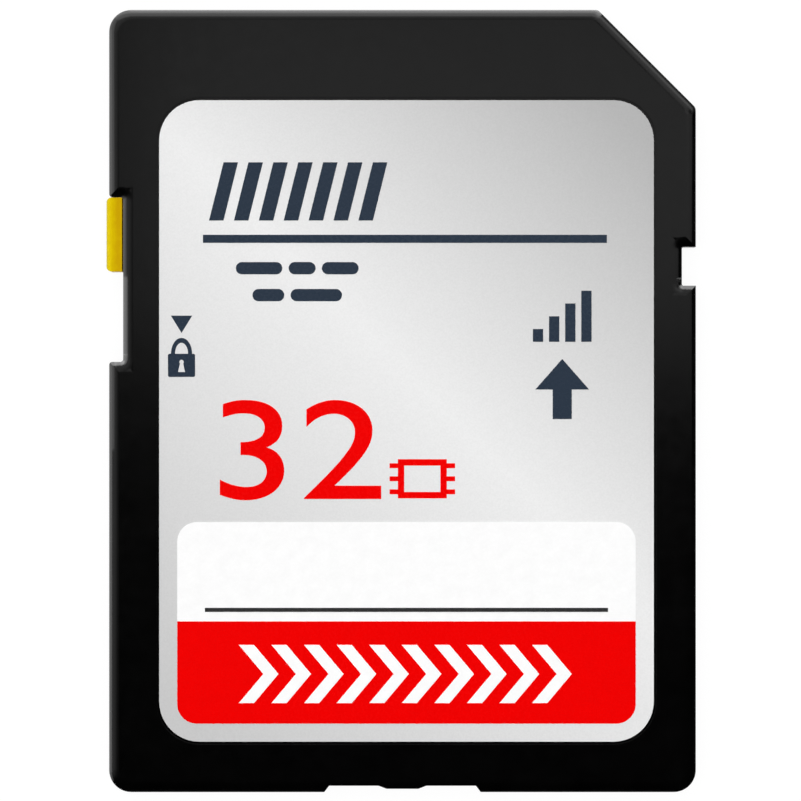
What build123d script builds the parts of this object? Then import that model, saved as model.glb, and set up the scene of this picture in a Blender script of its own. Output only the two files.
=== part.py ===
from build123d import *

import os
from math import sqrt

# Full-size flash memory card: two moulded shells around a circuit board, and a write-protect tab.
# Millimetres. The card lies on its back: X runs across it, +Y to its contact end, +Z out of its label.
# The origin is the middle of the outline, on the resting face.

# Outline, seen from the label side
card_width = 24.0
card_length = 32.0
corner_radius = 0.9
key_cut = 4.0  # leg of the 45 degree corner that keys the card in its socket
key_cut_round = 0.25
rim_width = 0.42  # the label-side rim curves down over this width
rim_drop = 0.165  # to this far under the face

# Height stack, from the resting face up; the parts on the board come between board and roof
contact_depth = 0.7  # the pads lie this deep, level with the underside of the side rails
board_thickness = 0.35
roof_clearance = 0.05
roof_thickness = 0.28
label_recess_depth = 0.12

# Shells
rail_width = 0.75  # thin edge along each long side that runs in the socket
wall_thickness = 1.2
inner_corner_radius = 0.5
floor_thickness = 0.35
board_seat = 0.4  # rim of the board that the two shells hold between them
back_edge_round = 0.15
seam_chamfer = 0.06  # broken edges of both shells where they meet
lead_in_length = 0.7  # slope of the rear cover where it enters the socket
lead_in_height = 0.45

# Write-protect tab and its slot in the left edge
slot_start = 7.65  # from the contact end
slot_length = 6.75
slot_depth = 0.57
slot_corner_round = 0.13
slot_mouth_round = 0.12
tab_length = 3.03
tab_stand_out = 0.13
tab_clearance = 0.05
tab_end_gap = 0.02  # to the end of the slot where the card can be written
tab_front_drop = 0.2  # the tab stays this far under the face, just below the rim's curve
tab_end_round = 0.22
tab_edge_round = 0.26
hook_height = 0.65  # opening under the lip that the tab's hook passes through
lip_thickness = 0.45
hook_thickness = 0.6
pocket_wall = 0.4

# Notch in the right edge
notch_start = 9.7  # from the contact end
notch_length = 1.58
notch_depth = 0.57
notch_corner_round = 0.07

# Moulding gate at the grip end: a shallow recess with the stub of the trimmed gate in its middle
gate_floor = 6.0
gate_draft = 0.2  # slant of the recess at each side
gate_depth = 0.27
gate_stub_top = 1.3
gate_stub_draft = 0.325
gate_stub_height = 0.13

# Label, set in a recess of the front cover
label_left = 2.05
label_right = 1.725
label_top = 3.7
label_bottom = 2.07
label_radius = 1.65
label_thickness = 0.08
label_gap = 0.1
recess_lip_round = 0.008

# Fields of colour printed on the label
ink_thickness = 0.015
panel_margin = 0.74
panel_height = 4.06
band_height = 4.18
panel_radius = 0.8
rule_from_left = 1.79
rule_from_right = 1.92
rule_from_top = 5.67
rule_width = 0.33
line_margin = 1.87
line_above_band = 0.47
line_width = 0.165

# Circuit board and its contacts, numbered as in the card's pin list
board_gap = 0.1
contact_order = (9, 1, 2, 3, 4, 5, 6, 7, 8)  # from the keyed side across the card
first_contact_from_edge = 2.5
last_contact_from_edge = 2.375
pitch_six_seven = 2.425
pitch_seven_eight = 1.7
rib_width = 0.75  # between two windows of the rear cover
narrow_rib_width = 0.6  # between the windows of contacts 7 and 8
window_length = 5.9  # from the contact end
side_window_setback = 1.4  # contact 9 ends this much further in, clear of the keyed corner
pad_overlap = 0.1  # the pads reach this far under the window's edges
pad_from_board_end = 0.3
pad_thickness = 0.04
pad_radius = 0.15

# Electronic parts on the label side of the board
controller_size = 6.4
controller_height = 0.5
controller_from_board_end = 3.5
chip_spacing = 0.9
flash_height = 0.6
flash_side_margin = 3.7
flash_end_margin = 2.1
chip_index_cut = 0.5
capacitor_size = (1.0, 0.5, 0.45)
resistor_size = (0.8, 0.4, 0.3)
capacitor_count = 6
resistor_count = 6
passive_pitch = 1.1
passive_gap = 1.2  # from the controller's sides
end_cap_length = 0.22
end_cap_proud = 0.02

# Places worked out from the sizes above
left = -card_width / 2
right = card_width / 2
contact_end = card_length / 2
grip_end = -card_length / 2

passive_height = max(capacitor_size[2], resistor_size[2]) + end_cap_proud
parts_height = max(flash_height, controller_height, passive_height)
board_top = contact_depth + board_thickness
roof_bottom = board_top + parts_height + roof_clearance
recess_floor = roof_bottom + roof_thickness
card_thickness = recess_floor + label_recess_depth
label_face = recess_floor + label_thickness
board_inset = wall_thickness + board_gap

rim_radius = (rim_width**2 + rim_drop**2) / (2 * rim_drop)
rim_growth = rim_radius - rim_width  # how far outside the card the rim's arc would turn upright
quarter_turn = 90  # degrees

slot_top = contact_end - slot_start
slot_bottom = slot_top - slot_length
slot_wall = left + slot_depth
lip_bottom = contact_depth + hook_height
lip_inner = slot_wall + lip_thickness
pocket_inner = lip_inner + hook_thickness + 2 * tab_clearance
pocket_block_inner = pocket_inner + pocket_wall

notch_top = contact_end - notch_start
notch_bottom = notch_top - notch_length
notch_wall = right - notch_depth

contact_row = card_width - first_contact_from_edge - last_contact_from_edge
narrow_steps = {7: pitch_six_seven, 8: pitch_seven_eight}  # step to that contact from the one before it
wide_step_count = len(contact_order) - 1 - len(narrow_steps)
contact_pitch = (contact_row - sum(narrow_steps.values())) / wide_step_count


def box_between(low, high):
    """Box from its lowest to its highest corner."""
    size = [b - a for a, b in zip(low, high)]
    return Pos(*low) * Box(*size, align=(Align.MIN, Align.MIN, Align.MIN))


def rectangle_between(low, high):
    """Flat rectangle from its lowest to its highest corner."""
    size = [b - a for a, b in zip(low, high)]
    return Pos(*low) * Rectangle(*size, align=(Align.MIN, Align.MIN))


def raise_from(outline, bottom, top):
    """Extrude a flat outline between two heights."""
    return Pos(0, 0, bottom) * extrude(outline, top - bottom)


def keyed_plate(x_inset, y_inset, key_leg, radius, key_radius):
    """Card outline pulled in from its long sides and its ends, with the keyed corner at +X +Y."""
    x = card_width / 2 - x_inset
    y = card_length / 2 - y_inset
    corners = [(-x, -y), (x, -y), (x, y - key_leg), (x - key_leg, y), (-x, y)]
    radii = [radius, radius, key_radius, key_radius, radius]
    return make_face(FilletPolyline(*corners, radius=radii, close=True))


def inset_plate(inset, radius=inner_corner_radius, key_radius=inner_corner_radius):
    """Card outline pulled in by the same distance all round, the keyed corner included."""
    key_leg = key_cut - inset * (2 - sqrt(2))
    return keyed_plate(inset, inset, key_leg, radius, key_radius)


def gate_recess():
    """Outline of the recess at the grip end, with the stub of the trimmed gate standing in it."""
    floor = grip_end + gate_depth
    half = [
        (gate_stub_top / 2, floor - gate_stub_height),
        (gate_stub_top / 2 + gate_stub_draft, floor),
        (gate_floor / 2, floor),
        (gate_floor / 2 + gate_draft, grip_end),
        (gate_floor / 2 + gate_draft, grip_end - gate_depth),
    ]
    mirrored = [(-x, y) for x, y in reversed(half)]
    return make_face(Polyline(*half, *mirrored, close=True))


def label_plate(gap):
    """Label outline, grown by a gap for the recess that takes it."""
    width = card_width - label_left - label_right + 2 * gap
    length = card_length - label_top - label_bottom + 2 * gap
    middle = ((label_left - label_right) / 2, (label_bottom - label_top) / 2)
    return Pos(*middle) * RectangleRounded(width, length, label_radius + gap)


def pocket_block(gap):
    """Plan of the block behind the slot that holds the tab's pocket, grown by a gap."""
    low = (left, slot_bottom - pocket_wall - gap)
    high = (pocket_block_inner + gap, slot_top + pocket_wall + gap)
    return rectangle_between(low, high)


def slot_plan(growth):
    """Slot of the write-protect tab, narrowed by the growth of the card around it."""
    low = (left - slot_depth, slot_bottom + growth)
    high = (slot_wall - growth, slot_top - growth)
    return rectangle_between(low, high)


def notch_plan(growth):
    """Notch in the right edge, narrowed by the growth of the card around it."""
    low = (notch_wall + growth, notch_bottom + growth)
    high = (right + notch_depth, notch_top - growth)
    return rectangle_between(low, high)


def cover_plan():
    """Front cover seen from the label side, rounded in the slot, at its mouth and in the notch."""
    slot = slot_plan(0)
    slot = fillet(slot.vertices().group_by(Axis.X)[-1], slot_corner_round)
    notch = notch_plan(0)
    notch = fillet(notch.vertices().group_by(Axis.X)[0], notch_corner_round)
    plan = keyed_plate(0, 0, key_cut, corner_radius, key_cut_round) - slot - notch
    # The first and last corners of the left side are where the card's own corner arcs start.
    left_corners = plan.vertices().group_by(Axis.X)[0].sort_by(Axis.Y)
    return fillet(left_corners[1:-1], slot_mouth_round)


def top_face(solid):
    return solid.faces().sort_by(Axis.Z)[-1]


def bottom_face(solid):
    return solid.faces().sort_by(Axis.Z)[0]


def make_rim_envelope():
    """Plate a little larger than the front cover, whose rounded rim crosses the cover's sides."""
    outline = inset_plate(-rim_growth, corner_radius + rim_growth, key_cut_round + rim_radius)
    outline = outline - slot_plan(rim_growth) - notch_plan(rim_growth)
    envelope = raise_from(outline, contact_depth, card_thickness)
    return fillet(top_face(envelope).outer_wire().edges(), rim_radius)


def rim_corner(x, y, radius, start):
    """Rim turned a quarter round the middle of an inner corner, from a start angle."""
    low = card_thickness - rim_drop
    foot = low - rim_drop
    outer = radius + rim_width
    curve = RadiusArc((radius, low), (outer, card_thickness), rim_radius)
    rest = Polyline((outer, card_thickness), (outer, foot), (radius, foot), (radius, low))
    quarter = revolve(Plane.XZ * make_face([curve, rest]), Axis.Z, quarter_turn)
    return Pos(x, y) * Rot(0, 0, start) * quarter


def rim_corners():
    """Rim in the two inner corners of the slot and the two of the notch."""
    slot_x = slot_wall - slot_corner_round
    notch_x = notch_wall + notch_corner_round
    return [
        rim_corner(slot_x, slot_top - slot_corner_round, slot_corner_round, 0),
        rim_corner(slot_x, slot_bottom + slot_corner_round, slot_corner_round, -quarter_turn),
        rim_corner(notch_x, notch_top - notch_corner_round, notch_corner_round, quarter_turn),
        rim_corner(notch_x, notch_bottom + notch_corner_round, notch_corner_round, 2 * quarter_turn),
    ]


def make_cover_plate():
    """Front cover before it is hollowed: curved rim, slot, notch, gate recess and seam edge."""
    plate = raise_from(cover_plan(), contact_depth, card_thickness) & make_rim_envelope()
    for corner in rim_corners():
        plate += corner
    plate -= raise_from(gate_recess(), contact_depth, card_thickness)
    return chamfer(bottom_face(plate).outer_wire().edges(), seam_chamfer)


def make_front_cover():
    """Label-side shell: rim, roof, label recess and the guide for the write-protect tab."""
    cover = make_cover_plate()
    cover -= raise_from(label_plate(label_gap), recess_floor, card_thickness)
    cover = fillet(top_face(cover).inner_wires().edges(), recess_lip_round)
    board_room = inset_plate(wall_thickness) - pocket_block(0)
    cover -= raise_from(board_room, contact_depth, board_top)
    parts_room = inset_plate(board_inset + board_seat) - pocket_block(0)
    cover -= raise_from(parts_room, board_top, roof_bottom)
    cover -= box_between((lip_inner, slot_bottom, contact_depth), (pocket_inner, slot_top, roof_bottom))
    mouth_inner = slot_wall - slot_corner_round
    cover -= box_between((mouth_inner, slot_bottom, contact_depth), (lip_inner, slot_top, lip_bottom))
    return cover


def contact_places():
    """Contact number, its middle across the card and the width of its window, from the keyed side."""
    wide = contact_pitch - rib_width
    narrow = pitch_seven_eight - narrow_rib_width
    x = right - first_contact_from_edge
    places = []
    for number in contact_order:
        if places:
            x -= narrow_steps.get(number, contact_pitch)
        places.append((number, x, narrow if number in narrow_steps else wide))
    return places


def window_end(number):
    """Inner end of a contact's window."""
    setback = side_window_setback if number == contact_order[0] else 0
    return contact_end - window_length - setback


def make_rear_cover():
    """Contact-side shell: a thin tray with a window over each contact, open towards the socket."""
    outline = keyed_plate(rail_width, 0, key_cut - rail_width, corner_radius, key_cut_round)
    outline -= gate_recess()
    cover = raise_from(outline, 0, contact_depth)
    cover = fillet(bottom_face(cover).outer_wire().edges(), back_edge_round)
    cover = chamfer(top_face(cover).outer_wire().edges(), seam_chamfer)
    ramp = Polyline(
        (contact_end, 0),
        (contact_end - lead_in_length, 0),
        (contact_end, lead_in_height),
        close=True,
    )
    cover -= extrude(Plane.YZ * make_face(ramp), card_width / 2, both=True)
    tray_end = window_end(contact_order[0]) - board_seat
    tray = inset_plate(board_inset + board_seat) & rectangle_between((left, grip_end), (right, tray_end))
    cover -= raise_from(tray, floor_thickness, contact_depth)
    for number, x, width in contact_places():
        low = (x - width / 2, window_end(number), 0)
        high = (x + width / 2, contact_end, contact_depth)
        cover -= box_between(low, high)
    return cover


def make_tab():
    """Write-protect tab: a grip in the slot, hooked under the lip and up behind it."""
    outer = left - tab_stand_out
    grip_inner = slot_wall - tab_clearance
    hook_start = lip_inner + tab_clearance
    hook_end = hook_start + hook_thickness
    bottom = contact_depth + tab_clearance
    hook_top = roof_bottom - tab_clearance
    web_top = lip_bottom - tab_clearance
    front = card_thickness - tab_front_drop
    top_end = slot_top - tab_end_gap
    outline = Polyline(
        (outer, bottom),
        (hook_end, bottom),
        (hook_end, hook_top),
        (hook_start, hook_top),
        (hook_start, web_top),
        (grip_inner, web_top),
        (grip_inner, front),
        (outer, front),
        close=True,
    )
    section = make_face(outline)
    section = fillet(section.vertices().group_by(Axis.X)[0].sort_by(Axis.Y)[-1], tab_edge_round)
    tab = Pos(0, top_end) * extrude(Plane.XZ * section, tab_length)
    plan = rectangle_between((outer, top_end - tab_length), (hook_end, top_end))
    plan = fillet(plan.vertices().group_by(Axis.X)[0], tab_end_round)
    return tab & raise_from(plan, bottom, front)


def pad_outline(number, x, width):
    """Plan of one contact pad, kept on the board beside the keyed corner."""
    outer = x + width / 2 + pad_overlap
    board_end = contact_end - board_inset
    board_key_line = right + contact_end - key_cut - board_inset * sqrt(2)
    end = min(board_end, board_key_line - outer) - pad_from_board_end
    start = window_end(number) - pad_overlap
    return Pos(x, (start + end) / 2) * RectangleRounded(width + 2 * pad_overlap, end - start, pad_radius)


def make_pads():
    """Gold contact pads, set level with the underside of the board."""
    pads = {}
    for number, x, width in contact_places():
        outline = pad_outline(number, x, width)
        pads[f"contact_pad_{number}"] = raise_from(outline, contact_depth, contact_depth + pad_thickness)
    return pads


def make_board(pads):
    """Circuit board: steps round the tab's pocket and holds the pads in its underside."""
    outline = inset_plate(board_inset) - pocket_block(board_gap)
    board = raise_from(outline, contact_depth, board_top)
    for pad in pads.values():
        board -= pad
    return board


def make_chip(low, high, height):
    """Moulded chip package with a cut corner that marks its first terminal."""
    outline = rectangle_between(low, high)
    index_corner = outline.vertices().group_by(Axis.Y)[-1].sort_by(Axis.X)[0]
    return raise_from(chamfer(index_corner, chip_index_cut), board_top, board_top + height)


def make_passive(size, x, y):
    """Chip capacitor or resistor, with a slightly proud metal cap at each end."""
    length, width, height = size
    body = raise_from(Rectangle(length, width), board_top, board_top + height)
    cap = Rectangle(end_cap_length, width + 2 * end_cap_proud)
    for side in (-1, 1):
        place = side * (length - end_cap_length) / 2
        body += Pos(place, 0) * raise_from(cap, board_top, board_top + height + end_cap_proud)
    return Pos(x, y) * body


def make_electronics():
    """Flash memory, controller and the two columns of small parts beside the controller."""
    controller_top = contact_end - board_inset - controller_from_board_end
    controller_bottom = controller_top - controller_size
    controller_y = (controller_top + controller_bottom) / 2
    half = controller_size / 2
    flash_half = card_width / 2 - board_inset - flash_side_margin
    flash_bottom = grip_end + board_inset + flash_end_margin
    flash_top = controller_bottom - chip_spacing
    flash_corners = ((-flash_half, flash_bottom), (flash_half, flash_top))
    controller_corners = ((-half, controller_bottom), (half, controller_top))
    parts = {
        "flash_memory_chip": make_chip(*flash_corners, flash_height),
        "controller_chip": make_chip(*controller_corners, controller_height),
    }
    columns = (
        ("capacitor", 1, capacitor_count, capacitor_size),
        ("resistor", -1, resistor_count, resistor_size),
    )
    for name, side, count, size in columns:
        x = side * (half + passive_gap + size[0] / 2)
        for index in range(count):
            y = controller_y + (index - (count - 1) / 2) * passive_pitch
            parts[f"{name}_{index + 1}"] = make_passive(size, x, y)
    return parts


def make_print():
    """Fields of colour on the label, and the two rules."""
    label_x = (left + label_left, right - label_right)
    bottom = grip_end + label_bottom + panel_margin
    split = bottom + band_height
    field_low = (label_x[0] + panel_margin, bottom)
    field_high = (label_x[1] - panel_margin, split + panel_height)
    field_size = (field_high[0] - field_low[0], field_high[1] - field_low[1])
    field_middle = ((field_low[0] + field_high[0]) / 2, (field_low[1] + field_high[1]) / 2)
    field = Pos(*field_middle) * RectangleRounded(*field_size, panel_radius)
    band_part = rectangle_between(field_low, (field_high[0], split))
    rule_y = contact_end - label_top - rule_from_top
    line_y = split + line_above_band
    ink_face = label_face + ink_thickness
    rule = box_between(
        (label_x[0] + rule_from_left, rule_y - rule_width / 2, label_face),
        (label_x[1] - rule_from_right, rule_y + rule_width / 2, ink_face),
    )
    line = box_between(
        (label_x[0] + line_margin, line_y - line_width / 2, ink_face),
        (label_x[1] - line_margin, line_y + line_width / 2, ink_face + ink_thickness),
    )
    return {
        "white_panel_print": raise_from(field - band_part, label_face, ink_face),
        "red_band_print": raise_from(field & band_part, label_face, ink_face),
        "header_rule_print": rule,
        "writing_line_print": line,
    }


def main():
    pads = make_pads()
    parts = {
        "front_cover": make_front_cover(),
        "rear_cover": make_rear_cover(),
        "write_protect_tab": make_tab(),
        "circuit_board": make_board(pads),
        "front_label": raise_from(label_plate(0), recess_floor, label_face),
        **pads,
        **make_electronics(),
        **make_print(),
    }
    os.makedirs("parts", exist_ok=True)
    for name, shape in parts.items():
        export_step(shape, f"parts/{name}.step")


main()
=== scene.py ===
from math import cos, pi, radians, sin, tan
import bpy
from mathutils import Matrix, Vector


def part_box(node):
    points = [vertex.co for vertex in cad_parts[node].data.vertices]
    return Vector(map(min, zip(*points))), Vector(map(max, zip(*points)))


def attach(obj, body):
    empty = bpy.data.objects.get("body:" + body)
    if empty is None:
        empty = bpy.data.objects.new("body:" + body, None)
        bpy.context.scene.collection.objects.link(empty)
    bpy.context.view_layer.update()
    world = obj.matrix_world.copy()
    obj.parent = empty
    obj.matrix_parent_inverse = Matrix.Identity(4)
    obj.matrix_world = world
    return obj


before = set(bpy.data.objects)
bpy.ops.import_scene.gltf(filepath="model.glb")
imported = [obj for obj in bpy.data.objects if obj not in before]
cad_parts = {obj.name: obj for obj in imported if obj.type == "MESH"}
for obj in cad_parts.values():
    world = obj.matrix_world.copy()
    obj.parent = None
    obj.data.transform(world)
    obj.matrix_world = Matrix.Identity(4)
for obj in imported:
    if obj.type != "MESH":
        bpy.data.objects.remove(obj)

from types import SimpleNamespace

import bmesh
import bpy
from mathutils import Color, Vector
from mathutils.geometry import tessellate_polygon

# Looks of a flat flash memory card: its finishes, the signs printed on its label, and a white studio.
# Places and sizes on the card are written in millimetres, and Blender's own units are metres.

MM = 0.001
AXES = range(3)
QUARTER_TURN = 90  # degrees
HALF_TURN = 2 * QUARTER_TURN
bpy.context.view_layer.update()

# Colours, in sRGB from 0 to 255
SRGB_MOST = 255
BLACK_PLASTIC = ((1, 1, 1), (3, 3, 3))
TAB_HIGHLIGHT_TO_YELLOW = ((230, 208, 4), (203, 163, 6))  # lighter at the outer edge, a painted highlight, and darker yellow inwards
TAB_GLOSS = (255, 226, 90)
# Painted sheen on the label, in place of the silver foil's reflection
LABEL_PAINTED_SHEEN = ((-15.4, 203), (0.97, 240), (14.6, 182))  # mm along the diagonal, and grey
INK_COLOURS = {
    "white_ink": (253, 253, 253),
    "red_ink": (240, 2, 2),
    "navy_ink": (44, 55, 69),
    "grey_ink": (50, 50, 50),
}
GOLD = ((246, 205, 120), (232, 182, 92))
SOLDER_MASK = ((10, 58, 36), (16, 80, 50))
CHIP_BLACK = ((26, 26, 27), (36, 36, 37))
CAPACITOR_TAN = ((150, 116, 80), (168, 132, 94))
RESISTOR_FILM = ((24, 24, 27), (34, 34, 38))
ALUMINA = (226, 224, 218)
TIN = (205, 206, 208)

# Finishes: sizes of the clouds of colour, of the patches of gloss and of the grain, and the depth of the
# grain, all in mm, and the lowest and highest roughness
FRONT_SHELL = SimpleNamespace(cloud=1.6, patch=0.5, grain=0.06, depth=0.0006, roughness=(0.18, 0.22))
REAR_SHELL = SimpleNamespace(cloud=1.6, patch=0.5, grain=0.11, depth=0.005, roughness=(0.36, 0.46))
TAB = SimpleNamespace(cloud=0.25, patch=0.3, grain=0.05, depth=0.0008, roughness=(0.36, 0.46))
LABEL = SimpleNamespace(patch=0.2, grain=0.07, depth=0.0006, roughness=(0.28, 0.34))
INK = SimpleNamespace(cloud=0.5, patch=0.15, grain=0.06, depth=0.0002, roughness=(0.24, 0.3))
PLATING = SimpleNamespace(cloud=0.6, grain=0.03, depth=0.0006, roughness=(0.18, 0.34))
LAMINATE = SimpleNamespace(patch=0.4, grain=0.12, depth=0.004, roughness=(0.24, 0.36))
RESIN = SimpleNamespace(patch=0.3, grain=0.05, depth=0.002, roughness=(0.55, 0.7))
CERAMIC = SimpleNamespace(cloud=0.12, patch=0.1, grain=0.04, depth=0.001, roughness=(0.3, 0.45))
TAB_HIGHLIGHT_WIDTH = 0.26  # of the tab's width from its outer edge, over which the painted highlight fades to the darker yellow
TAB_CLOUD = 0.12  # most that the clouds shift the blend of the tab's two yellows
TAB_SPECULAR = 0.2
LABEL_GRAIN = (0.975, 1.025)  # of the label's grey
INK_DENSITY = (1.008, 0.992)  # of the ink's colour, where it is thin and where it is dense
INK_SPECULAR = 0.15
SCRATCH_STRETCH = 30.0  # length of a scratch, in its widths
WEAVE_STRETCH = 6.0  # length of a thread between crossings, in its widths
WEAVE_SPREAD = (0.12, 0.4)  # values that most of the weave lies between
END_CAP = 0.22  # mm of metal at each end of a chip capacitor or resistor
FACING_UP = 0.5  # height of a face's normal from which it counts as the top

# Layers of ever finer detail in a noise, and the values that most of it lies between
SMOOTH = 1.0
PLAIN = 2.0
FINE = 3.0
FINEST = 4.0
NOISE_SPREAD = (0.3, 0.7)

# Sockets of a Mix node that mixes colours
MIX_FACTOR = 0
MIX_FIRST = 6
MIX_SECOND = 7
MIX_RESULT = 2

# Signs, in mm from the lower left corner of the label: left, bottom, right, top
INK_THICKNESS = 0.012
TITLE_BOX = (2.04, 21.31, 9.33, 23.69)
TITLE_BARS = 7
TITLE_SLANT = 14.0  # degrees
BAR_SHARE = 0.58  # of a bar and the gap beside it
DASH_ROWS = (  # middle of each row, and the lengths of its dashes
    (5.645, 19.36, (1.9, 1.1, 1.5)),
    (5.645, 18.26, (1.3, 2.1)),
)
DASH_HEIGHT = 0.5
DASH_GAP = 0.26
LEVEL_BOX = (15.28, 16.35, 17.68, 18.44)
LEVEL_BARS = 4
LEVEL_BAR_WIDTH = 0.42
ARROW_BOX = (15.38, 13.19, 17.58, 15.65)
ARROW_HEAD = 1.25
ARROW_SHAFT = 0.78
NUMBER = "32"
NUMBER_BOX = (2.48, 9.87, 9.08, 13.97)
NUMBER_DEPTH = 0.5  # in the font's own units, before the number is fitted to its place
NUMBER_WELD = 0.0005  # distance within which points are joined
CHIP_BOX = (9.42, 9.95, 12.10, 11.55)
CHIP_PIN = (0.34, 0.2)  # length and height
CHIP_PINS = 3
CHIP_LINE = 0.26
TRIANGLE_BOX = (0.48, 16.71, 1.35, 17.42)
LOCK_BODY = (0.36, 14.915, 1.47, 15.86)
LOCK_ROUND = 0.07
SHACKLE_OUTER = (0.432, 0.65)  # half width and height
SHACKLE_INNER = (0.267, 0.45)
KEYHOLE_HEAD = 0.09
KEYHOLE_BASE = 0.29
KEYHOLE_FOOT = 0.2  # above the lower edge of the lock
KEYHOLE_HEIGHT = 0.41  # from its foot to the middle of its head
KEYHOLE_NECK = 50.0  # degrees either side of straight down where the head opens
ARC_STEP = 7.5  # degrees between the points of a round edge

# Row of chevrons, in mm from the lower left corner of the red band
CHEVRON_BOX = (2.52, 0.84, 16.13, 3.22)
CHEVRONS = 10
CHEVRON_THICKNESS = 0.62
CHEVRON_POINT = 1.0

# Photograph: its width, its scale on the label, and the card's middle in it, in pixels
IMAGE_SIZE = 801
PIXELS_PER_MM = 24.457
CARD_MIDDLE = (402.5, 401.0)

# Camera, in mm
LENS = 200.0
SENSOR = 36.0

# Floor
FLOOR_SIZE = 40.0  # metres
FLOOR_DROP = 0.02  # mm under the card
FLOOR_WHITE = 0.94  # white that it shows by itself
FLOOR_SHADE = 0.08  # share of its light that it shows as well, less where the card's shadow falls
FLOOR_BOUNCE = 0.8  # share of its light that it sends back to the card

# World: brightness of the horizon and of a pale wall, and where each fades
HORIZON = 1.0
HORIZON_FADE = (0.05, 0.14)  # height of a direction, from all of it to none of it
WALL = 0.7
WALL_FADE = (0.04, 0.4)  # how far a direction points to its side, from none of it to all of it
WALL_SIDE = (-0.55, 0.835, 0.0)  # behind the contact end and to the left

# Soft panels: middle and size in mm, brightness, and the side that each shines from
ABOVE = (0.0, 0.0, 1.0)
CONTACT_END = (0.0, 1.0, 0.0)
LEFT = (-1.0, 0.0, 0.0)
SOFT_BOX = ((0.0, 0.0, 240.0), (240.0, 240.0), 3.3, ABOVE)
GLOSS_PANELS = {
    "top_panel": ((47.0, 14.0, 70.0), (126.0, 23.0), 0.5, ABOVE),
    "corner_panel": ((81.0, 81.0, 61.0), (95.0, 36.0), 1.55, (81.0, 81.0, 61.0)),
    "corner_fill": ((59.0, 59.0, 99.6), (50.0, 68.0), 0.7, (59.0, 59.0, 99.6)),
    "end_strip_low": ((-2.0, 16.6, 1.99), (21.4, 0.3), 6.0, CONTACT_END),
    "end_strip_middle": ((-2.0, 16.6, 2.305), (21.4, 0.33), 3.0, CONTACT_END),
    "end_strip_high": ((-2.0, 16.6, 2.92), (21.4, 0.9), 1.3, CONTACT_END),
    "left_strip_low": ((-12.6, 0.3, 2.095), (32.6, 0.51), 2.0, LEFT),
    "left_strip_high": ((-12.6, 7.3, 2.6), (18.6, 0.5), 1.0, LEFT),
    "slot_end_strip": ((-11.72, 1.92, 2.1), (0.6, 0.52), 5.0, CONTACT_END),
    "slot_side_strip": ((-11.8, 3.4, 2.2), (3.4, 0.72), 2.0, LEFT),
    "notch_strip": ((11.72, 5.04, 2.1), (0.6, 0.52), 5.0, CONTACT_END),
}


def srgb(red, green, blue):
    """Scene colour of an sRGB colour."""
    colour = Color([value / SRGB_MOST for value in (red, green, blue)])
    return (*colour.from_srgb_to_scene_linear(), 1.0)


# Shader nodes


def feed(tree, node, values):
    """Link each input that is given as a socket, and set each that is given as a value."""
    for name, value in values.items():
        if isinstance(value, bpy.types.NodeSocket):
            tree.links.new(value, node.inputs[name])
        else:
            node.inputs[name].default_value = value


def add_node(tree, kind, values=None, **settings):
    """New node of a kind, with its settings made and its inputs fed."""
    node = tree.nodes.new(kind)
    for name, value in settings.items():
        setattr(node, name, value)
    feed(tree, node, values or {})
    return node


def map_range(tree, value, start, end, low=0.0, high=1.0, steps="LINEAR"):
    """Number that goes from low to high as a value goes from start to end."""
    values = {"Value": value, "From Min": start, "From Max": end, "To Min": low, "To Max": high}
    return add_node(tree, "ShaderNodeMapRange", values, interpolation_type=steps).outputs["Result"]


def calculate(tree, operation, first, second):
    """Result of an operation on two numbers."""
    return add_node(tree, "ShaderNodeMath", {0: first, 1: second}, operation=operation).outputs["Value"]


class Surface:
    """Nodes of one material: a shader, and values that vary over the piece's own coordinates."""

    def __init__(self, material):
        material.use_nodes = True
        self.tree = material.node_tree
        self.tree.nodes.clear()
        self.shader = add_node(self.tree, "ShaderNodeBsdfPrincipled")
        add_node(self.tree, "ShaderNodeOutputMaterial", {"Surface": self.shader.outputs["BSDF"]})
        self.place = add_node(self.tree, "ShaderNodeTexCoord").outputs["Object"]

    def set(self, **values):
        """Set or link the shader's inputs, named with underscores for spaces."""
        feed(self.tree, self.shader, {name.replace("_", " "): value for name, value in values.items()})

    def coordinate(self, axis):
        """Place along an axis, in metres."""
        return add_node(self.tree, "ShaderNodeSeparateXYZ", {"Vector": self.place}).outputs[axis]

    def along(self, direction):
        """Distance along a direction, in metres."""
        values = {0: self.place, 1: direction}
        return add_node(self.tree, "ShaderNodeVectorMath", values, operation="DOT_PRODUCT").outputs["Value"]

    def noise(self, size, detail=PLAIN, stretch=(1.0, 1.0, 1.0)):
        """Noise with grains of about that size in mm, drawn out along the axes by the stretch."""
        scale = [1 / (size * MM * factor) for factor in stretch]
        scaled = add_node(self.tree, "ShaderNodeVectorMath", {0: self.place, 1: scale}, operation="MULTIPLY")
        values = {"Vector": scaled.outputs["Vector"], "Scale": 1.0, "Detail": detail}
        return add_node(self.tree, "ShaderNodeTexNoise", values).outputs["Fac"]

    def vary(self, noise, low=0.0, high=1.0):
        """Number that follows a noise from low to high."""
        return map_range(self.tree, noise, *NOISE_SPREAD, low, high)

    def blend(self, factor, first, second):
        """Colour from the first to the second as a factor goes from 0 to 1."""
        values = {MIX_FACTOR: factor, MIX_FIRST: first, MIX_SECOND: second}
        return add_node(self.tree, "ShaderNodeMix", values, data_type="RGBA").outputs[MIX_RESULT]

    def shade(self, factor, colours):
        """Colour from the first to the second of two sRGB colours as a factor goes from 0 to 1."""
        return self.blend(factor, *(srgb(*colour) for colour in colours))

    def bump(self, height, depth):
        """Raise the surface by a height from 0 to 1 times a depth in mm."""
        values = {"Height": height, "Distance": depth * MM, "Strength": 1.0}
        self.set(Normal=add_node(self.tree, "ShaderNodeBump", values).outputs["Normal"])


# Materials


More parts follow.
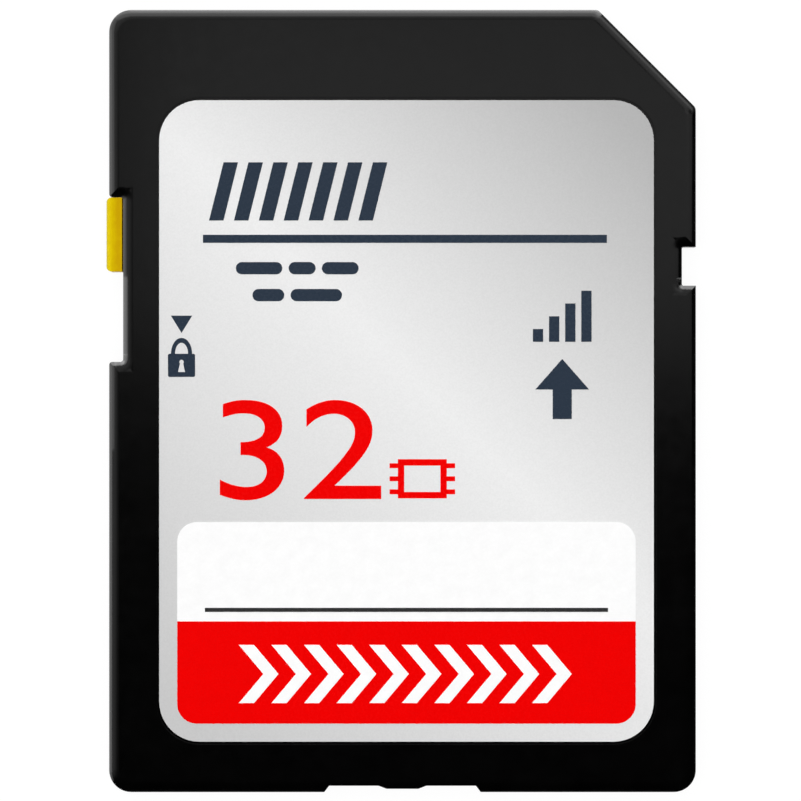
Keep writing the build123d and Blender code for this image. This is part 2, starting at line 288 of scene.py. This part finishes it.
def shell_plastic(material, finish):
    """Black moulded plastic, with the fine texture that its mould leaves."""
    surface = Surface(material)
    surface.set(
        Base_Color=surface.shade(surface.vary(surface.noise(finish.cloud)), BLACK_PLASTIC),
        Roughness=surface.vary(surface.noise(finish.patch), *finish.roughness),
    )
    surface.bump(surface.noise(finish.grain, FINE), finish.depth)


def tab_plastic(material):
    """Yellow plastic with a painted highlight: lighter along its outer edge, darker yellow inwards."""
    surface = Surface(material)
    low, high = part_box("write_protect_tab")
    # Painted highlight: lighter at the outer edge, fading to the darker yellow across part of the width.
    inner = low.x + TAB_HIGHLIGHT_WIDTH * (high.x - low.x)
    past_highlight = map_range(surface.tree, surface.coordinate("X"), low.x, inner)
    cloud = surface.vary(surface.noise(TAB.cloud), -TAB_CLOUD, TAB_CLOUD)
    surface.set(
        Base_Color=surface.shade(calculate(surface.tree, "ADD", past_highlight, cloud), TAB_HIGHLIGHT_TO_YELLOW),
        Roughness=surface.vary(surface.noise(TAB.patch), *TAB.roughness),
        Specular_IOR_Level=TAB_SPECULAR,
        Specular_Tint=srgb(*TAB_GLOSS),
    )
    surface.bump(surface.noise(TAB.grain), TAB.depth)


def label_foil(material):
    """Silver label: a painted sheen in place of the foil's reflection, running across it from corner to
    corner, and a fine metallic grain.
    """
    surface = Surface(material)
    places, greys = zip(*LABEL_PAINTED_SHEEN)
    start = places[0]
    end = places[-1]
    # Painted sheen: a grey ramp along the diagonal stands in for the foil's reflection.
    diagonal = surface.along(Vector((1, 1, 0)).normalized())
    share = map_range(surface.tree, diagonal, start * MM, end * MM)
    ramp = add_node(surface.tree, "ShaderNodeValToRGB", {"Fac": share})
    stops = ramp.color_ramp.elements
    for place in places[1:-1]:
        stops.new((place - start) / (end - start))
    for stop, grey in zip(stops, greys):
        stop.color = srgb(grey, grey, grey)
    grain = surface.vary(surface.noise(LABEL.grain, SMOOTH), *LABEL_GRAIN)
    values = {0: ramp.outputs["Color"], "Scale": grain}
    grained = add_node(surface.tree, "ShaderNodeVectorMath", values, operation="SCALE")
    surface.set(
        Base_Color=grained.outputs["Vector"],
        Roughness=surface.vary(surface.noise(LABEL.patch), *LABEL.roughness),
    )
    surface.bump(surface.noise(LABEL.grain, SMOOTH), LABEL.depth)


def ink(material, colour):
    """Printed ink, a little uneven in its density."""
    surface = Surface(material)
    shades = [[min(SRGB_MOST, value * share) for value in colour] for share in INK_DENSITY]
    surface.set(
        Base_Color=surface.shade(surface.vary(surface.noise(INK.cloud, FINE)), shades),
        Roughness=surface.vary(surface.noise(INK.patch), *INK.roughness),
        Specular_IOR_Level=INK_SPECULAR,
    )
    surface.bump(surface.noise(INK.grain), INK.depth)


def contact_gold(material):
    """Gold plating with the hair-fine scratches that sliding contacts leave along it."""
    surface = Surface(material)
    scratches = surface.noise(PLATING.grain, stretch=(1.0, SCRATCH_STRETCH, 1.0))
    surface.set(
        Base_Color=surface.shade(surface.vary(surface.noise(PLATING.cloud)), GOLD),
        Metallic=1.0,
        Roughness=surface.vary(scratches, *PLATING.roughness),
    )
    surface.bump(scratches, PLATING.depth)


def board_laminate(material):
    """Green solder mask over woven glass."""
    surface = Surface(material)
    across = surface.noise(LAMINATE.grain, stretch=(WEAVE_STRETCH, 1.0, 1.0))
    lengthwise = surface.noise(LAMINATE.grain, stretch=(1.0, WEAVE_STRETCH, 1.0))
    weave = calculate(surface.tree, "MULTIPLY", across, lengthwise)
    surface.set(
        Base_Color=surface.shade(map_range(surface.tree, weave, *WEAVE_SPREAD), SOLDER_MASK),
        Roughness=surface.vary(surface.noise(LAMINATE.patch), *LAMINATE.roughness),
    )
    surface.bump(weave, LAMINATE.depth)


def chip_resin(material):
    """Black moulding resin, matt from its filler."""
    surface = Surface(material)
    speckle = surface.noise(RESIN.grain, FINEST)
    surface.set(
        Base_Color=surface.shade(surface.vary(speckle), CHIP_BLACK),
        Roughness=surface.vary(surface.noise(RESIN.patch), *RESIN.roughness),
    )
    surface.bump(speckle, RESIN.depth)


def end_caps(surface, node):
    """1 on the metal ends of a chip part and 0 on its body."""
    low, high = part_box(node)
    from_middle = calculate(surface.tree, "SUBTRACT", surface.coordinate("X"), (low.x + high.x) / 2)
    distance = calculate(surface.tree, "ABSOLUTE", from_middle, 0.0)
    return calculate(surface.tree, "GREATER_THAN", distance, (high.x - low.x) / 2 - END_CAP * MM)


def chip_part(surface, caps, body):
    """Finish of a chip part: a ceramic body between two tinned ends."""
    surface.set(
        Base_Color=surface.blend(caps, body, srgb(*TIN)),
        Metallic=caps,
        Roughness=surface.vary(surface.noise(CERAMIC.patch), *CERAMIC.roughness),
    )
    surface.bump(surface.noise(CERAMIC.grain), CERAMIC.depth)


def capacitor_ceramic(material):
    """Chip capacitor: a tan body."""
    surface = Surface(material)
    body = surface.shade(surface.vary(surface.noise(CERAMIC.cloud, FINE)), CAPACITOR_TAN)
    chip_part(surface, end_caps(surface, "capacitor_1"), body)


def resistor_ceramic(material):
    """Chip resistor: a dark film on top of white alumina."""
    surface = Surface(material)
    film = surface.shade(surface.vary(surface.noise(CERAMIC.cloud, FINE)), RESISTOR_FILM)
    normal = add_node(surface.tree, "ShaderNodeNewGeometry").outputs["Normal"]
    facing = add_node(surface.tree, "ShaderNodeSeparateXYZ", {"Vector": normal}).outputs["Z"]
    top = calculate(surface.tree, "GREATER_THAN", facing, FACING_UP)
    chip_part(surface, end_caps(surface, "resistor_1"), surface.blend(top, srgb(*ALUMINA), film))


def finish_card():
    """Give every slot of the card its material, and the rear cover a coarser moulded texture."""
    materials = bpy.data.materials
    shell_plastic(materials["shell_plastic"], FRONT_SHELL)
    rear = materials.new("shell_plastic_rear")
    shell_plastic(rear, REAR_SHELL)
    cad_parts["rear_cover"].material_slots[0].material = rear
    tab_plastic(materials["tab_plastic"])
    label_foil(materials["label_foil"])
    for slot, colour in INK_COLOURS.items():
        ink(materials[slot], colour)
    contact_gold(materials["contact_gold"])
    board_laminate(materials["board_laminate"])
    chip_resin(materials["chip_resin"])
    capacitor_ceramic(materials["capacitor_ceramic"])
    resistor_ceramic(materials["resistor_ceramic"])


# Flat shapes of the signs: a shape is its outer loop and then its holes


def box_loop(left, bottom, right, top):
    """Corners of a box."""
    return [(left, bottom), (right, bottom), (right, top), (left, top)]


def arc(middle, radii, start, end):
    """Points round a part of an ellipse, from a start to an end angle in degrees."""
    count = round((end - start) / ARC_STEP)
    angles = [radians(start + (end - start) * i / count) for i in range(count + 1)]
    return [(middle[0] + radii[0] * cos(a), middle[1] + radii[1] * sin(a)) for a in angles]


def round_corners(left, bottom, right, top, radius):
    """Four rounded corners of a box, from the upper right one to the lower right one."""
    middles = (
        (right - radius, top - radius),
        (left + radius, top - radius),
        (left + radius, bottom + radius),
        (right - radius, bottom + radius),
    )
    corners = []
    for i, middle in enumerate(middles):
        corners.append(arc(middle, (radius, radius), i * QUARTER_TURN, (i + 1) * QUARTER_TURN))
    return corners


def title_shapes():
    """Row of equal slanted bars."""
    left, bottom, right, top = TITLE_BOX
    shift = (top - bottom) * tan(radians(TITLE_SLANT))
    pitch = (right - left - shift) / (TITLE_BARS - 1 + BAR_SHARE)
    width = pitch * BAR_SHARE
    shapes = []
    for i in range(TITLE_BARS):
        x = left + i * pitch
        shapes.append([[(x, bottom), (x + width, bottom), (x + width + shift, top), (x + shift, top)]])
    return shapes


def dash_shapes():
    """Two centred rows of round-ended dashes."""
    half = DASH_HEIGHT / 2
    shapes = []
    for middle, y, lengths in DASH_ROWS:
        x = middle - (sum(lengths) + DASH_GAP * (len(lengths) - 1)) / 2
        for length in lengths:
            right_end = arc((x + length - half, y), (half, half), -QUARTER_TURN, QUARTER_TURN)
            left_end = arc((x + half, y), (half, half), QUARTER_TURN, QUARTER_TURN + HALF_TURN)
            shapes.append([right_end + left_end])
            x += length + DASH_GAP
    return shapes


def level_shapes():
    """Bars that rise from left to right."""
    left, bottom, right, top = LEVEL_BOX
    pitch = (right - left - LEVEL_BAR_WIDTH) / (LEVEL_BARS - 1)
    shapes = []
    for i in range(LEVEL_BARS):
        x = left + i * pitch
        height = (top - bottom) * (i + 1) / LEVEL_BARS
        shapes.append([box_loop(x, bottom, x + LEVEL_BAR_WIDTH, bottom + height)])
    return shapes


def arrow_shapes():
    """Arrow to the contact end, the way the card goes into its socket."""
    left, bottom, right, top = ARROW_BOX
    middle = (left + right) / 2
    neck = top - ARROW_HEAD
    half = ARROW_SHAFT / 2
    head = [(left, neck), (right, neck), (middle, top)]
    shaft = box_loop(middle - half, bottom, middle + half, neck)
    return [[head], [shaft]]


def chip_shapes():
    """Outline of a chip with its pins."""
    left, bottom, right, top = CHIP_BOX
    length, height = CHIP_PIN
    body_left = left + length
    body_right = right - length
    body = box_loop(body_left, bottom, body_right, top)
    inner = box_loop(body_left + CHIP_LINE, bottom + CHIP_LINE, body_right - CHIP_LINE, top - CHIP_LINE)
    shapes = [[body, inner]]
    step = (top - bottom) / CHIP_PINS
    for i in range(CHIP_PINS):
        y = bottom + step * i + step / 2
        for x in (left, body_right):
            shapes.append([box_loop(x, y - height / 2, x + length, y + height / 2)])
    return shapes


def lock_shapes():
    """Padlock in one outline, open inside its shackle and at its keyhole."""
    left, bottom, right, top = LOCK_BODY
    middle = (left + right) / 2
    first_corner, *other_corners = round_corners(*LOCK_BODY, LOCK_ROUND)
    shackle = arc((middle, top), SHACKLE_OUTER, 0, HALF_TURN)
    outer = first_corner + shackle + sum(other_corners, [])
    gap = arc((middle, top), SHACKLE_INNER, 0, HALF_TURN)
    foot_y = bottom + KEYHOLE_FOOT
    head_middle = (middle, foot_y + KEYHOLE_HEIGHT)
    opening = (KEYHOLE_NECK - QUARTER_TURN, HALF_TURN + QUARTER_TURN - KEYHOLE_NECK)
    head = arc(head_middle, (KEYHOLE_HEAD, KEYHOLE_HEAD), *opening)
    foot = [(middle + side * KEYHOLE_BASE / 2, foot_y) for side in (-1, 1)]
    return [[outer, gap, head + foot]]


def triangle_shapes():
    """Triangle that points down at the padlock."""
    left, bottom, right, top = TRIANGLE_BOX
    return [[[(left, top), ((left + right) / 2, bottom), (right, top)]]]


def chevron_shapes():
    """Row of chevrons."""
    left, bottom, right, top = CHEVRON_BOX
    middle = (bottom + top) / 2
    pitch = (right - left - CHEVRON_THICKNESS - CHEVRON_POINT) / (CHEVRONS - 1)
    shapes = []
    for i in range(CHEVRONS):
        x = left + i * pitch
        back = x + CHEVRON_THICKNESS
        tip = x + CHEVRON_POINT
        front = [(x, bottom), (back, bottom), (back + CHEVRON_POINT, middle)]
        shapes.append([front + [(back, top), (x, top), (tip, middle)]])
    return shapes


# Signs as thin pieces of ink


def add_print(name, mesh, slot):
    """Put a printed mesh on the card, in the ink of a slot."""
    mesh.materials.append(bpy.data.materials[slot])
    piece = bpy.data.objects.new(name, mesh)
    bpy.context.scene.collection.objects.link(piece)
    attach(piece, "card")


def print_shapes(name, shapes, carrier, slot):
    """Lay flat shapes, in mm from the lower left corner of a carrier's box, on the carrier's face."""
    low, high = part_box(carrier)
    raised = Vector((0, 0, INK_THICKNESS * MM))
    build = bmesh.new()
    for loops in shapes:
        flat = [[Vector((x * MM + low.x, y * MM + low.y, high.z)) for x, y in loop] for loop in loops]
        under = [[build.verts.new(point) for point in loop] for loop in flat]
        over = [[build.verts.new(point + raised) for point in loop] for loop in flat]
        for bottom_loop, top_loop in zip(under, over):
            for i in range(len(bottom_loop)):
                build.faces.new((bottom_loop[i - 1], bottom_loop[i], top_loop[i], top_loop[i - 1]))
        for side in (under, over):
            corners = [corner for loop in side for corner in loop]
            for triangle in tessellate_polygon(flat):
                build.faces.new([corners[i] for i in triangle])
    bmesh.ops.recalc_face_normals(build, faces=build.faces)
    mesh = bpy.data.meshes.new(name)
    build.to_mesh(mesh)
    build.free()
    add_print(name, mesh, slot)


def print_number():
    """Plain number in the built-in font, fitted to its place on the label."""
    text = bpy.data.curves.new("capacity_number", "FONT")
    text.body = NUMBER
    text.extrude = NUMBER_DEPTH
    text_object = bpy.data.objects.new("capacity_number_text", text)
    mesh = bpy.data.meshes.new_from_object(text_object)
    bpy.data.objects.remove(text_object)
    label_low, label_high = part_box("front_label")
    left, bottom, right, top = NUMBER_BOX
    low = [min(vertex.co[i] for vertex in mesh.vertices) for i in AXES]
    high = [max(vertex.co[i] for vertex in mesh.vertices) for i in AXES]
    place = (label_low.x + left * MM, label_low.y + bottom * MM, label_high.z)
    size = Vector((right - left, top - bottom, INK_THICKNESS)) * MM
    for vertex in mesh.vertices:
        share = [(vertex.co[i] - low[i]) / (high[i] - low[i]) for i in AXES]
        vertex.co = [place[i] + share[i] * size[i] for i in AXES]
    build = bmesh.new()
    build.from_mesh(mesh)
    bmesh.ops.remove_doubles(build, verts=build.verts, dist=NUMBER_WELD * MM)
    bmesh.ops.recalc_face_normals(build, faces=build.faces)
    build.to_mesh(mesh)
    build.free()
    mesh.materials.clear()
    add_print("capacity_number", mesh, "red_ink")


def print_signs():
    """Print every sign on the label and on the red band."""
    for name, shapes in (
        ("title_bars", title_shapes()),
        ("caption_dashes", dash_shapes()),
        ("level_bars", level_shapes()),
        ("insertion_arrow", arrow_shapes()),
        ("lock_triangle", triangle_shapes()),
        ("padlock_sign", lock_shapes()),
    ):
        print_shapes(name, shapes, "front_label", "navy_ink")
    print_number()
    print_shapes("chip_sign", chip_shapes(), "front_label", "red_ink")
    print_shapes("band_chevrons", chevron_shapes(), "red_band_print", "white_ink")


# Studio


def add_matt(tree, brightness):
    """Matt grey that sends back a share of its light."""
    grey = (brightness, brightness, brightness, 1.0)
    return add_node(tree, "ShaderNodeBsdfDiffuse", {"Color": grey}).outputs["BSDF"]


def make_floor():
    """White floor: it shows as a white background and keeps the card's shadow."""
    material = bpy.data.materials.new("floor_white")
    material.use_nodes = True
    tree = material.node_tree
    tree.nodes.clear()
    rays = add_node(tree, "ShaderNodeLightPath").outputs
    seen = calculate(tree, "MAXIMUM", rays["Is Camera Ray"], rays["Is Glossy Ray"])
    seen = calculate(tree, "MAXIMUM", seen, rays["Is Transmission Ray"])
    glow = add_node(tree, "ShaderNodeEmission", {"Strength": FLOOR_WHITE}).outputs["Emission"]
    values = {0: glow, 1: add_matt(tree, FLOOR_SHADE)}
    white = add_node(tree, "ShaderNodeAddShader", values).outputs["Shader"]
    values = {0: seen, 1: add_matt(tree, FLOOR_BOUNCE), 2: white}
    mixed = add_node(tree, "ShaderNodeMixShader", values).outputs["Shader"]
    add_node(tree, "ShaderNodeOutputMaterial", {"Surface": mixed})
    half = FLOOR_SIZE / 2
    corners = [(x, y, -FLOOR_DROP * MM) for x, y in box_loop(-half, -half, half, half)]
    mesh = bpy.data.meshes.new("floor")
    mesh.from_pydata(corners, [], [range(len(corners))])
    mesh.materials.append(material)
    floor = bpy.data.objects.new("floor", mesh)
    bpy.context.scene.collection.objects.link(floor)


def light_world():
    """Soft studio: white at the horizon, and a pale wall on one side."""
    world = bpy.data.worlds.new("studio")
    world.use_nodes = True
    tree = world.node_tree
    tree.nodes.clear()
    direction = add_node(tree, "ShaderNodeTexCoord").outputs["Generated"]
    height = add_node(tree, "ShaderNodeSeparateXYZ", {"Vector": direction}).outputs["Z"]
    towards = add_node(tree, "ShaderNodeVectorMath", {0: direction, 1: WALL_SIDE}, operation="DOT_PRODUCT")
    wall = map_range(tree, towards.outputs["Value"], *WALL_FADE, 0.0, WALL, "SMOOTHSTEP")
    horizon = map_range(tree, height, *HORIZON_FADE, HORIZON, 0.0, "SMOOTHSTEP")
    light = calculate(tree, "ADD", wall, horizon)
    background = add_node(tree, "ShaderNodeBackground", {"Strength": light}).outputs["Background"]
    add_node(tree, "ShaderNodeOutputWorld", {"Surface": background})
    bpy.context.scene.world = world


def add_panel(name, middle, size, brightness, side, gloss):
    """Soft panel of an even brightness, which shows in the card's gloss or else lights the card."""
    lamp = bpy.data.lights.new(name, "AREA")
    lamp.shape = "RECTANGLE"
    lamp.size, lamp.size_y = (length * MM for length in size)
    lamp.energy = brightness * pi * lamp.size * lamp.size_y
    lamp.cycles.use_multiple_importance_sampling = gloss
    panel = bpy.data.objects.new(name, lamp)
    panel.location = Vector(middle) * MM
    panel.rotation_euler = Vector(side).to_track_quat("Z", "Y").to_euler()
    panel.visible_camera = False
    panel.visible_diffuse = not gloss
    panel.visible_glossy = gloss
    bpy.context.scene.collection.objects.link(panel)


def add_camera():
    """Camera straight above the card, with the photograph's framing."""
    lens = bpy.data.cameras.new("camera")
    lens.lens = LENS
    lens.sensor_width = SENSOR
    view = IMAGE_SIZE / PIXELS_PER_MM * MM
    label_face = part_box("front_label")[1].z
    from_middle = [(IMAGE_SIZE / 2 - pixel) / PIXELS_PER_MM * MM for pixel in CARD_MIDDLE]
    camera = bpy.data.objects.new("camera", lens)
    camera.location = (from_middle[0], -from_middle[1], label_face + view * LENS / SENSOR)
    bpy.context.scene.collection.objects.link(camera)
    bpy.context.scene.camera = camera


finish_card()
print_signs()
make_floor()
light_world()
add_panel("soft_box", *SOFT_BOX, gloss=False)
for name, panel in GLOSS_PANELS.items():
    add_panel(name, *panel, gloss=True)
add_camera()
bpy.context.scene.view_settings.view_transform = "Standard"
